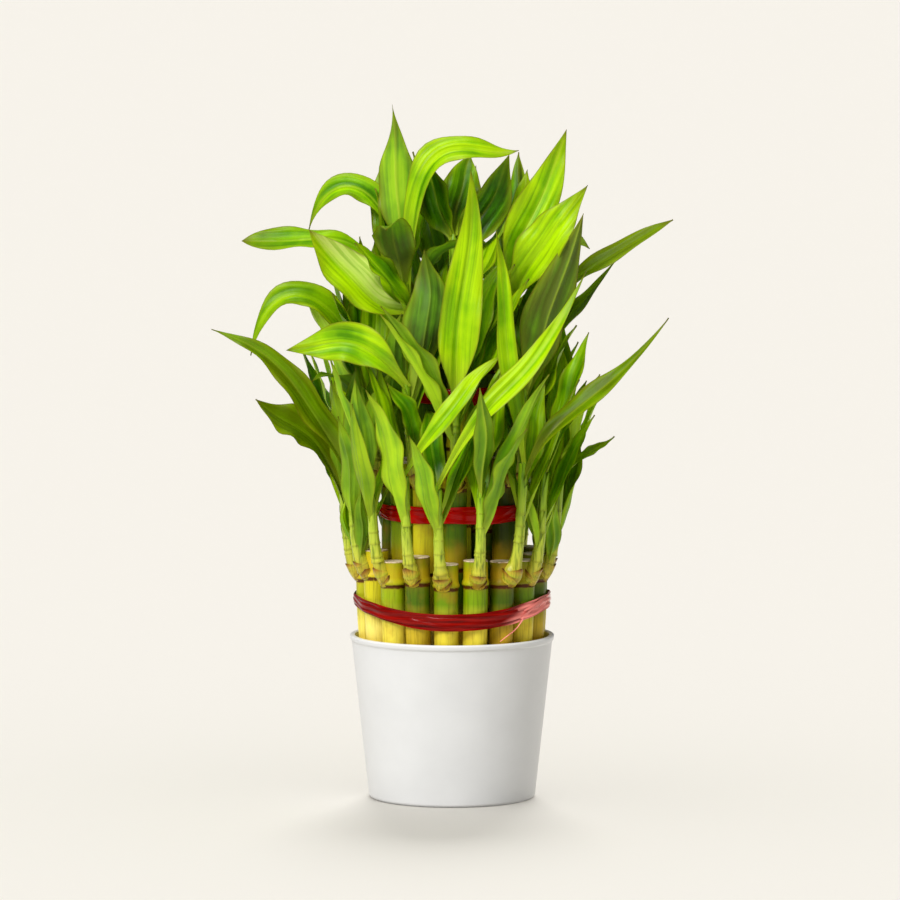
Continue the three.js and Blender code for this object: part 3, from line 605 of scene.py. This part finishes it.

# The leaves that make the outline from the front. Each row says the share of its shoot where the midrib
# starts, its width, the compass turn that its back faces, its roll about the midrib, its tone, three points
# that the midrib runs through, and what else it has. A point is x to the right, then forward of the middle,
# then height. Tone runs from 0 for an old dark leaf to 1 for a young bright one, ripe is its share of olive,
# a painted highlight washes one side pale where a leaf asks for it, and twist adds to roll by the tip.
SHOWN = {
    "inner_plant_06": [
        (0.95, 19, -20, 0, 0.5, (-23, 17, 258), (-24, 15, 280), (-26, 14, 305), {"twist": 10, "drip": 0.9}),
        (0.7, 21, -90, -65, 1.0, (-35, 22, 221), (-48, 24, 234), (-62, 24, 251),
         {"widest": 0.55, "pale": 1.0, "drip": 0.2}),
        (0.5, 14, 90, 55, 0.8, (-12, 20, 273), (8, 17, 286), (29, 14, 285), {}),
        (0.6, 17, -70, -40, 0.6, (-25, 30, 226), (-34, 33, 237), (-42, 35, 246), {}),
    ],
    "inner_plant_05": [
        (0.95, 14, -90, -50, 0.6, (-34, -12, 262), (-50, -14, 267), (-63, -16, 249), {}),
        (0.8, 13, -90, -45, 0.62, (-47, -3, 244), (-67, 1, 246), (-92, 2, 245),
         {"widest": 0.8, "drip": -0.4}),
        (0.6, 14, -90, -35, 0.75, (-31, 0, 224), (-43, 2, 230), (-56, 4, 237), {}),
    ],
    "inner_plant_02": [
        (0.95, 19, 180, 0, 0.9, (30, 7, 246), (40, 5, 268), (50, 3, 294), {}),
        (0.75, 21, 120, 40, 1.0, (35, 13, 237), (46, 15, 252), (59, 15, 270), {}),
    ],
    "centre_plant_01": [
        (0.95, 17, 150, 0, 0.3, (-4, 5, 257), (-9, 7, 270), (-13, 8, 284), {}),
        (0.8, 18, 190, 0, 0.15, (10, 5, 251), (18, 5, 266), (25, 4, 283), {}),
    ],
    "middle_plant_10": [
        (0.9, 14, -90, -50, 0.6, (-52, 3, 214), (-73, 6, 220), (-88, 7, 195), {"ripe": 0.25}),
    ],
    "middle_plant_12": [
        (0.95, 18.5, -90, -70, 0.75, (-36, 38, 199), (-53, 35, 202), (-72, 30, 199), {}),
        (0.8, 20, 0, 0, 0.25, (-11, 33, 206), (-10, 30, 224), (-12, 27, 243), {"twist": 15}),
        (0.4, 11, -90, -50, 0.4, (-17, 36, 166), (-22, 40, 176), (-28, 42, 186), {}),
    ],
    "middle_plant_11": [(0.9, 15, -80, -20, 0.4, (-38, 17, 196), (-45, 18, 209), (-52, 18, 223), {})],
    "middle_plant_01": [(0.95, 18, 180, 0, 1.0, (3, 38, 205), (7, 36, 240), (8, 33, 278), {"widest": 0.35})],
    "middle_plant_03": [(0.9, 21, 20, 0, 0.12, (39, 19, 201), (47, 19, 227), (57, 18, 258), {"ripe": 0.25})],
    "middle_plant_04": [
        (0.95, 12, 90, 35, 0.5, (45, -2, 218), (65, -4, 236), (97, -6, 254),
         {"widest": 0.7, "drip": -0.3, "ripe": 0.65}),
        (0.7, 10, 90, 35, 0.45, (47, -8, 204), (58, -11, 219), (72, -13, 236), {"ripe": 0.55}),
    ],
    "outer_plant_16": [
        (0.95, 15, -90, -50, 0.4, (-59, 20, 170), (-78, 16, 192), (-105, 12, 207),
         {"widest": 0.35, "ripe": 0.5}),
    ],
    "outer_plant_15": [
        (0.7, 21, -90, -40, 0.2, (-59, 6, 155), (-71, 6, 165), (-86, 6, 176), {"widest": 0.6, "ripe": 0.6}),
    ],
    "outer_plant_18": [(0.95, 9.5, 90, 60, 1.0, (-6, 49, 168), (7, 47, 185), (22, 44, 198), {})],
    "outer_plant_01": [(0.95, 11, 90, 60, 1.0, (17, 53, 177), (37, 46, 199), (58, 36, 234), {})],
    "outer_plant_03": [
        (0.97, 9, 180, 0, 0.85, (26, 43, 185), (22, 38, 222), (19, 34, 251), {"twist": 40}),
        (0.85, 12, 90, 40, 0.35, (47, 40, 169), (67, 33, 184), (94, 26, 213), {"ripe": 0.5}),
    ],
    "outer_plant_05": [(0.9, 7, 90, 30, 0.4, (57, 12, 151), (64, 11, 155), (71, 10, 160), {"ripe": 0.5})],
}


def shown_leaf(stem, row, shift):
    """A leaf of the list, shift millimetres forward: the cubic that passes two of its points at one and two
    thirds of its way, which has the inner control points (-5 a + 18 b - 9 c + 2 d) / 6 and (2 a - 9 b + 18 c
    - 5 d) / 6."""
    root, width, facing, roll, tone, *through, more = row
    start = bezier(stem["curve"], root)[0]
    passed = np.array([start] + [(x, -front - shift, z) for x, front, z in through])
    inner = np.array([(-5, 18, -9, 2), (2, -9, 18, -5)]) @ passed / 6
    own = {"root": root, "width": width, "facing": facing, "roll": roll, "tone": tone, "ripe": 0.0}
    return {**PLAIN, **own, **more, "curve": np.array([start, *inner, passed[3]])}


def aslant(stem, root, turns, tilts, step):
    """A midrib in three steps from its root on the shoot, each tilted by its own angle from upright, toward
    its own turn."""
    tilts = np.radians(tilts)
    headings = direction(turns) * np.sin(tilts)[:, None]
    headings[:, 2] = np.cos(tilts)
    start = bezier(stem["curve"], root)[0] + direction(turns[0]) * shoot_radius(root) / 2
    return start + np.concatenate([np.zeros((1, 3)), np.cumsum(step * headings, 0)])


def drawn_leaf(stem, number, draw):
    """A leaf drawn by rule. It stands 215 degrees round from the one before it, give or take 85, leaves the
    shoot aslant, straightens, and droops by 6 to 30 degrees toward its tip, and one in seven by 70 more."""
    habit = FOLIAGE[stem["tier"]]
    (low, high), (short, long), (slim, broad) = habit["tilt"], habit["length"], habit["width"]
    turn = stem["side"] + 215 * number + 170 * (next(draw) - 0.5)
    lean = low + (high - low) * next(draw)
    droop = 6 + 24 * next(draw)
    droop += 70 if next(draw) > 0.86 else 0
    step = (short + (long - short) * next(draw)) / 3
    sway = 25 * (next(draw) - 0.5)
    width = slim + (broad - slim) * next(draw)
    twist = 70 * (next(draw) - 0.5)
    root = habit["low"] + (HIGH - habit["low"]) * number / (habit["leaves"] - 1)
    curve = aslant(stem, root, turn + sway * np.arange(3), [lean + 12, lean, lean + droop], step)
    return {**PLAIN, "root": root, "curve": curve, "width": width, "facing": turn, "twist": twist}


def young_leaf(stem, number, dice):
    """A short leaf low on an outer shoot, 150 degrees round from the one before it."""
    own = drawn(YOUNG_RANGES, dice)
    turn = stem["side"] + 75 - 150 * number + own["turn"]
    tilts = own["tilt"] + np.array([10, 0, 12])
    curve = aslant(stem, own["root"], turn + np.zeros(3), tilts, own["length"] / 3)
    return {**PLAIN, **own, "curve": curve, "facing": turn}


def grown_leaves(stem, dice):
    """The leaves that the model's solid has: of the places tried for each, the first whose tip is a point of
    it. Young leaves come on top."""
    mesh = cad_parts[stem["name"]].data
    points = np.empty(3 * len(mesh.vertices), np.float32)
    mesh.vertices.foreach_get("co", points)
    points = points.reshape(-1, 3) / MM
    habit = FOLIAGE[stem["tier"]]
    tries = [[shown_leaf(stem, row, shift) for shift in SHIFTS] for row in SHOWN.get(stem["name"], [])]
    for number in range(habit["leaves"]):
        draw = draws(10 * stem["seed"] + number)
        tries.append([drawn_leaf(stem, number, draw) for _ in range(TRIES)])
    leaves = []
    for choices in tries:
        tips = np.array([leaf["curve"][3] for leaf in choices])
        off = np.abs(tips[:, None] - points[None]).max(-1).min(1)
        if off.min() < SAME:
            leaves.append(choices[int(np.argmax(off < SAME))])
    if stem["tier"] == "outer" and math.cos(math.radians(stem["turn"])) < AT_SIDE:
        leaves += [young_leaf(stem, number, dice) for number in range(YOUNG)]
    for leaf in leaves:
        leaf.setdefault("tone", habit["tone"] + (1 - habit["tone"]) * dice.uniform(0, 1))
        leaf.setdefault("ripe", 0.3 * dice.uniform(0, 1) ** 3)
        leaf["out"] = unit((leaf["curve"][2] - leaf["curve"][0]) * [1, 1, 0])
    return leaves


def blade_share(t, widest, drip):
    """Half-width along a blade as a share of its most: a narrow neck, a swell by sine squared, then a taper
    of 1 - x^2.1. drip moves the taper's share toward cos^2(90 degrees times x^1.2), a thin tip, and below
    nothing toward a rounder end."""
    swell = BLADE["neck"] + (1 - BLADE["neck"]) * np.sin(np.pi / 2 * np.minimum(t / widest, 1)) ** 2
    x = np.clip((t - widest) / (1 - widest), 0, 1)
    taper, thin = 1 - x ** BLADE["taper"], np.cos(np.pi / 2 * x**1.2) ** 2
    return np.where(t < widest, swell, taper + drip * (thin - taper))


def two_faces(at, side, upper, out, rise, thick):
    """The two faces of a thin sheet along a curve: at + out side + (rise + thick or - thick) upper."""
    sheet = at[:, None] + out[..., None] * side[:, None]
    return [sheet + (rise + lift)[..., None] * upper[:, None] for lift in (thick, -thick)]


def leaf_shape(leaf, dice):
    """A blade on a grid of t along the midrib and s from edge to edge. Across, the height is the fold times
    the distance from the midrib, sharp near the neck and flatter toward the tip; ripples grow with s squared;
    the thickness is a lens, most at the midrib and nothing at the edges; and the whole blade sways sideways
    and up and down by slow sines that die out at its root and tip."""
    t = np.concatenate([np.linspace(0, 0.94, 26), [0.965, 0.985, 0.999]])
    s = np.linspace(-1, 1, 13)
    at, along = bezier(leaf["curve"], t)
    t = t[:, None]
    level = direction(np.array(leaf["facing"] + 90.0))
    side = unit(level - (along @ level)[:, None] * along)
    upper = np.cross(along, side)
    roll = np.radians(leaf["roll"] + leaf["twist"] * t)
    side, upper = side * np.cos(roll) + upper * np.sin(roll), upper * np.cos(roll) - side * np.sin(roll)
    fold = BLADE["fold"] + BLADE["neck_fold"] * (1 - smooth(t, 0.05, 0.4))
    body = np.sin(np.pi * t)
    phase = dice.uniform(0, 2 * np.pi, 5)
    beats = 2 * np.pi * dice.uniform(*RIPPLE["beats"])
    ripple = np.where(s < 0, np.sin(beats * t + phase[0]), np.sin((beats + 0.8 * np.pi) * t + phase[1]))
    uneven = 1 + 0.06 * body * np.sin(0.6 * beats * t + 0.6 * np.pi * s + phase[3])
    half = leaf["width"] / 2 * blade_share(t, leaf["widest"], leaf["drip"]) * uneven
    channel = fold * half * (1.22 * np.abs(s) - 0.22 * np.abs(s) ** 3 - 0.14 * bump_at(s, 0, 0.12))
    wave = RIPPLE["height"] * min(1, leaf["width"] / RIPPLE["full"]) ** 2
    rise = channel + wave * body * s**2 * ripple + SWAY["upward"] * body * np.sin(6 * t + phase[2])
    thick = BLADE["thick"] * np.sqrt(np.clip(1 - s**2, 0, 1)) * (1 + 0.9 * bump_at(s, 0, 0.1)) / 2
    span, sway = half * s, SWAY["sideways"] * body * np.sin(7 * t + phase[4])
    top, bottom = two_faces(at, side, upper, span + sway, rise, thick)
    rings, span = (np.concatenate([up, down[:, -2:0:-1]], 1) for up, down in ((top, bottom), (span, span)))
    marks = {mark: leaf[mark] for mark in ("tone", "pale", "ripe")}
    marks["under"] = np.concatenate([np.zeros(len(s)), np.ones(len(s) - 2)])
    marks["across"] = np.concatenate([s, s[-2:0:-1]])
    return closed_shape(rings, material=3, along=t, span=span, stray=dice.uniform(0, 1), **marks)


# Dracaena leaf: a tough blade with a waxy gloss above and a duller, paler back. Fine parallel veins and
# broader streaks of lighter green run from neck to tip beside a pale midrib, the neck is cream, the margins
# are yellower, and the edge and tip dry to a thin olive-brown line. The light shines through it a little. The
# veins, 0.5 mm apart, are drawn at 1.1 mm so that they show, the streaks are 3 mm wide and the clouds of tone
# 16 mm.
leaf_blade, add, place, along, across, span, under, tone, pale, ripe, stray = start_material(
    "dracaena leaf", "along", "across", "span", "under", "tone", "pale", "ripe", "stray")
clouds = add("TexNoise", {"Vector": place, "Scale": 1 / (16 * MM), "Detail": 3.0})
lane = add("CombineXYZ", {"X": span, "Y": along, "Z": stray})
stretched = add("Mapping", {"Vector": lane, "Scale": (1 / 1.1, 1.6, 40.0)})
veins = add("TexNoise", {"Vector": stretched, "Scale": 1.0, "Detail": 3.0})
banded = add("Mapping", {"Vector": lane, "Scale": (1 / 3, 1.1, 60.0)})
streaks = add("TexNoise", {"Vector": banded, "Scale": 1.0, "Detail": 1.0})
mottle = add("Math", {0: clouds, 1: streaks}, operation="ADD")
mottle = add("MapRange",
             {"Value": mottle, "From Min": 0.75, "From Max": 1.25, "To Min": -0.32, "To Max": 0.3})
toned = add("Math", {0: tone, 1: mottle}, operation="ADD", use_clamp=True)
green = add("ValToRGB", {"Fac": toned},
            [(0.0, "#2E4C00"), (0.22, "#3F7C00"), (0.45, "#68AA00"), (0.7, "#98D200"), (1.0, "#C6F008")])
vein_shade = add("ValToRGB", {"Fac": veins}, [(0.3, "#B0C068"), (0.5, "#F6F8C8"), (0.7, "#FFFFE0")])
blade = add("Mix", {0: 0.8, 6: green, 7: vein_shade}, **TINT, blend_type="MULTIPLY")

# The shares of the shades that lie over the green: at the neck, on the midrib, at the margins, on the paler
# back and as a painted highlight down one side, at the tip of a ripe leaf, and at the dry edge and point.
away = add("Math", {0: span}, operation="ABSOLUTE")
edge_way = add("Math", {0: across}, operation="ABSOLUTE")
rib_most = add("MapRange", {"Value": stray, "From Min": 0.3, "To Min": 0.15, "To Max": 0.55})
lighter = add("MapRange", {"Value": veins, "From Min": 0.42, "From Max": 0.55, "To Min": 0.45})
neck, rib, margin, highlight_side, ending, edge, tip = (
    add("MapRange", {"Value": value, "From Min": start, "From Max": end, "To Max": most})
    for value, start, end, most in (
        (along, 0.26, 0.0, 0.8), (away, 0.8, 0.15, rib_most), (edge_way, 0.55, 0.95, 0.5),
        (across, 0.15, -0.4, lighter), (along, 0.72, 1.0, 0.6), (edge_way, 0.9, 1.0, 0.65),
        (along, 0.94, 1.0, 0.8)))
backed = add("Math", {0: under, 1: 0.1}, operation="MULTIPLY")
# A painted highlight: a pale wash down one side of the leaves that ask for it, broken by the veins.
painted_highlight_wash = add("Math", {0: pale, 1: highlight_side}, operation="MULTIPLY")
pale_back_and_highlight = add("Math", {0: backed, 1: painted_highlight_wash}, operation="MAXIMUM")
olive = add("Math", {0: ending, 1: ripe}, operation="MAXIMUM")
dry = add("Math", {0: edge, 1: tip}, operation="MAXIMUM")
for share, shade in ((neck, "#CCDC36"), (rib, "#CCE23C"), (margin, "#B4CC14"), (pale_back_and_highlight, "#E0F27C"),
                     (olive, "#7A8400"), (dry, "#6E5E1C")):
    blade = add("Mix", {0: share, 6: blade, 7: linear(shade)}, **TINT)
folds = add("Bump", {"Height": streaks, "Strength": 0.8, "Distance": 1.6 * MM})
relief = add("Bump", {"Height": veins, "Strength": 0.45, "Distance": 0.35 * MM, "Normal": folds})
gloss = add("MapRange", {"Value": under, "To Min": 0.34, "To Max": 0.45})
set_sockets(leaf_blade, "Principled BSDF", {
    "Base Color": blade, "Roughness": gloss, "IOR": 1.45, "Specular IOR Level": 0.2, "Normal": relief})
glow_shade = add("Mix", {0: 0.45, 6: blade, 7: linear("#C8F000")}, **TINT)
glow = add("BsdfTranslucent", {"Color": glow_shade, "Normal": relief})
both = add("MixShader", {0: 0.3, 1: leaf_blade.node_tree.nodes["Principled BSDF"].outputs[0], 2: glow})
set_sockets(leaf_blade, "Material Output", {"Surface": both})

for order, tier in enumerate(TIERS):
    for number, turn in places(tier):
        stem = bare_stem(tier, number, turn, 1000 * (order + 1) + number)
        dice = np.random.default_rng(stem["seed"])
        stem["tone"] = CANE_TONES[tier["tier"]].get(number, dice.uniform(0.2, 0.9))
        leaves = grown_leaves(stem, dice)
        stem["bulge"] = BULGES.get(stem["name"], dice.uniform(0.2, 0.8))
        shapes = cane_shapes(stem, dice) + [shoot_shape(stem, leaves, dice)]
        shapes += [scale_shape(stem, scale_number, dice) for scale_number in range(SCALES)]
        for leaf in leaves:
            shapes += [sheath_shape(stem, leaf, dice), leaf_shape(leaf, dice)]
        skins = [cane_skin, sealing_wax, sheath_skin, leaf_blade]
        make_piece(stem["name"] + "_leafy", shapes, skins, [stem["name"]])


# ---- Ties ----
# Glossy red polypropylene ribbon, wound three times round each ring of canes and pulled tight, so that it
# presses on every cane and gathers in long folds. The outer one is drawn out thin at the front right, where
# its loose ends are tucked in, and a pink highlight is painted there. The two upper ties are painted a
# lighter red, painted light that lifts them out of the shade of the leaves.

RIBBON = {"film": 0.16, "steps": 540, "off_canes": 0.4, "most": 1.25, "press": 0.22, "strips_out": 1.2}
TIES = [  # thin is 1 where a tie has a thin stretch painted with a pink highlight; the last value is its share of a lighter red, painted light
    {"height": 88, "width": 7, "sag": 6, "thin": 1, "bright": 0.0},
    {"height": 127, "width": 8, "sag": 0, "thin": 0, "bright": 0.6},
    {"height": 178, "width": 7.5, "sag": 0, "thin": 0, "bright": 0.6},
]
# Each turn of the ribbon: where its middle lies in the tie's width, its own share of that width, and how many
# millimetres out it lies.
LAPS = [(-0.25, 0.5, 0.1), (0.25, 0.48, 0.2), (-0.02, 0.6, 0.5)]
# How each measure of a turn wanders: in which whole numbers of waves round the tie, and how far.
WAVES = {"height": ([1, 2, 3, 5], 0.25), "width": ([1, 3, 4, 7], 0.12), "folds": ([1, 2, 4, 7, 11], 0.8),
         "depth": ([2, 5, 9, 14], 0.1)}
SHEER = {"from": 42, "to": 92, "soft": 7, "slant": 8}  # where the outer tie's film is thin and painted with a pink highlight, in degrees
STRIPS = [  # the outer tie's loose ends: points (turn, distance out, height), half-widths, curl, share of painted pink highlight
    ([(43, 0, 82.6), (50, 1.0, 84.4), (62, 1.1, 86.6), (72, 0, 87.6)], [0.5, 1.5, 1.8, 0.7], 0.5, 0.95),
    ([(46, 0, 85.6), (53, 1.2, 86.6), (62, 1.2, 88.6), (71, 0, 89.8)], [0.4, 1.1, 1.3, 0.5], -0.5, 0.7),
    ([(46, 0, 83), (41, 1.2, 79), (36, 0.3, 76.5), (29, -0.6, 73.0)], [0.6, 0.22, 0.26, 0.12], 0.2, 1.0),
]


def wander(turn, dice, measure):
    """A slow closed wave round a tie: a sum of sines of whole beats with drawn phases and falling heights."""
    beats, size = np.array(WAVES[measure][0]), WAVES[measure][1]
    phase = dice.uniform(0, 2 * np.pi, len(beats))
    return size * (np.sin(np.radians(turn)[:, None] * beats + phase) / np.sqrt(beats)).sum(1)


def ribbon_shapes(tie, dice):
    """Each turn of the ribbon is a thin film on a grid of the turn round the canes and s across. It is
    pressed in by half a millimetre between canes, and it has one or two rounded folds whose height and place
    wander. It is gathered to three quarters of its width at the sides. Where the film is thin, its lower edge
    stands off."""
    turn = np.linspace(0, 360, RIBBON["steps"], endpoint=False)
    middle = tie["height"] - tie["sag"] * np.maximum(0, np.cos(np.radians(turn))) ** 2
    pressed = RIBBON["press"] * (1 - np.cos(np.radians(tie["count"] * (turn - tie["turn"]))))
    inner = tie["ring"] + CANE["radius"] + RIBBON["off_canes"] - pressed
    gathered = np.maximum(0.7, 0.74 + 0.26 * np.cos(np.radians(turn - 15)))
    s = np.linspace(-1, 1, 17)
    slanted = turn[:, None] - SHEER["slant"] * s
    soft = SHEER["soft"]
    begun, ended = (smooth(slanted, SHEER[edge] - soft, SHEER[edge] + soft) for edge in ("from", "to"))
    thin = begun * (1 - ended) * tie["thin"]
    # The pink of the thin stretch is a painted highlight, streaked across the ribbon.
    painted_pink_streaks = thin * (0.8 + 0.2 * np.sin(6 * s + np.radians(9 * turn)[:, None]))
    film = RIBBON["film"] * np.sqrt(np.clip(1.02 - s**2, 0, 1))[None, :, None] * direction(turn)[:, None]
    shapes = []
    for place, wide, outward in LAPS:
        at = middle + tie["width"] * place * gathered + wander(turn, dice, "height")
        half = tie["width"] * wide / 2 * gathered * (1 + wander(turn, dice, "width"))
        fold = 0.5 - 0.5 * np.cos(np.pi * (1.4 * s + wander(turn, dice, "folds")[:, None]))
        size = 0.3 + wander(turn, dice, "depth")[:, None]
        out = np.clip(outward + size * fold + 0.3 * thin * (1 - s), 0.02, RIBBON["most"] - RIBBON["film"])
        face = (inner[:, None] + out)[..., None] * direction(turn)[:, None]
        face[..., 2] += at[:, None] + half[:, None] * s
        rings = np.concatenate([face + film, (face - 0.2 * film)[:, ::-1]], 1)
        sheer = np.concatenate([painted_pink_streaks, painted_pink_streaks[:, ::-1]], 1)
        shapes.append(closed_shape(rings, looped=True, sheer=sheer, bright=tie["bright"]))
    return shapes


def strip_shape(front, path, half, curl, sheer):
    """A loose end of ribbon: a thin film along a cubic, front from the middle. Its half-width follows half,
    given at even steps, and curl bends it across by that share of its half-width."""
    t = np.linspace(0, 1, 40)
    at, along = bezier(np.array([(front + out) * direction(turn) + [0, 0, up] for turn, out, up in path]), t)
    side = unit(np.cross(along, unit(at * [1, 1, 0])))
    s = np.linspace(-1, 1, 11)
    width = np.interp(t, np.linspace(0, 1, len(half)), half)[:, None]
    rise = curl * width * (s**2 - 0.5) + 0.12 * np.sin(9 * t[:, None] + 3 * s)
    film = RIBBON["film"] / 2 * np.sqrt(np.clip(1.02 - s**2, 0, 1))
    top, bottom = two_faces(at, side, np.cross(side, along), width * s, rise, film)
    return closed_shape(np.concatenate([top, bottom[:, ::-1]], 1), sheer=sheer)


# Polypropylene gift ribbon: deep red and shiny, drawn out lengthwise so that it shows fine lines along it.
# Where the outer tie's film is thin it is painted pale pink, a painted highlight, and the upper ties are
# painted a lighter red, painted light. The lines, 0.2 mm apart, are drawn at 1 mm so that they show.
gift_ribbon, add, place, sheer, bright = start_material("red polypropylene ribbon", "sheer", "bright")
along_band = add("Mapping", {"Vector": place, "Scale": (0.06, 0.06, 1.0)})
lines = add("TexNoise", {"Vector": along_band, "Scale": 1 / MM, "Detail": 2.0})
red = add("ValToRGB", {"Fac": lines}, [(0.3, "#5C0200"), (0.5, "#7A0400"), (0.72, "#9A0E04")])
# A lighter red on the upper ties is painted light, and the pink is a painted highlight.
for share, shade in ((bright, "#D80A04"), (sheer, "#FF948A")):
    red = add("Mix", {0: share, 6: red, 7: linear(shade)}, **TINT)
relief = add("Bump", {"Height": lines, "Strength": 0.3, "Distance": 0.25 * MM})
set_sockets(gift_ribbon, "Principled BSDF", {
    "Base Color": red, "Roughness": 0.17, "IOR": 1.49, "Specular IOR Level": 0.15, "Normal": relief})

for number, own in enumerate(TIES):
    tie = {**TIERS[number], **own}
    name = tie["tier"] + "_tie"
    shapes = ribbon_shapes(tie, np.random.default_rng(50 + number))
    if tie["thin"]:
        front = tie["ring"] + CANE["radius"] + RIBBON["strips_out"]
        shapes += [strip_shape(front, *strip) for strip in STRIPS]
    make_piece(name + "_ribbon", shapes, [gift_ribbon], [name], sharp=70)
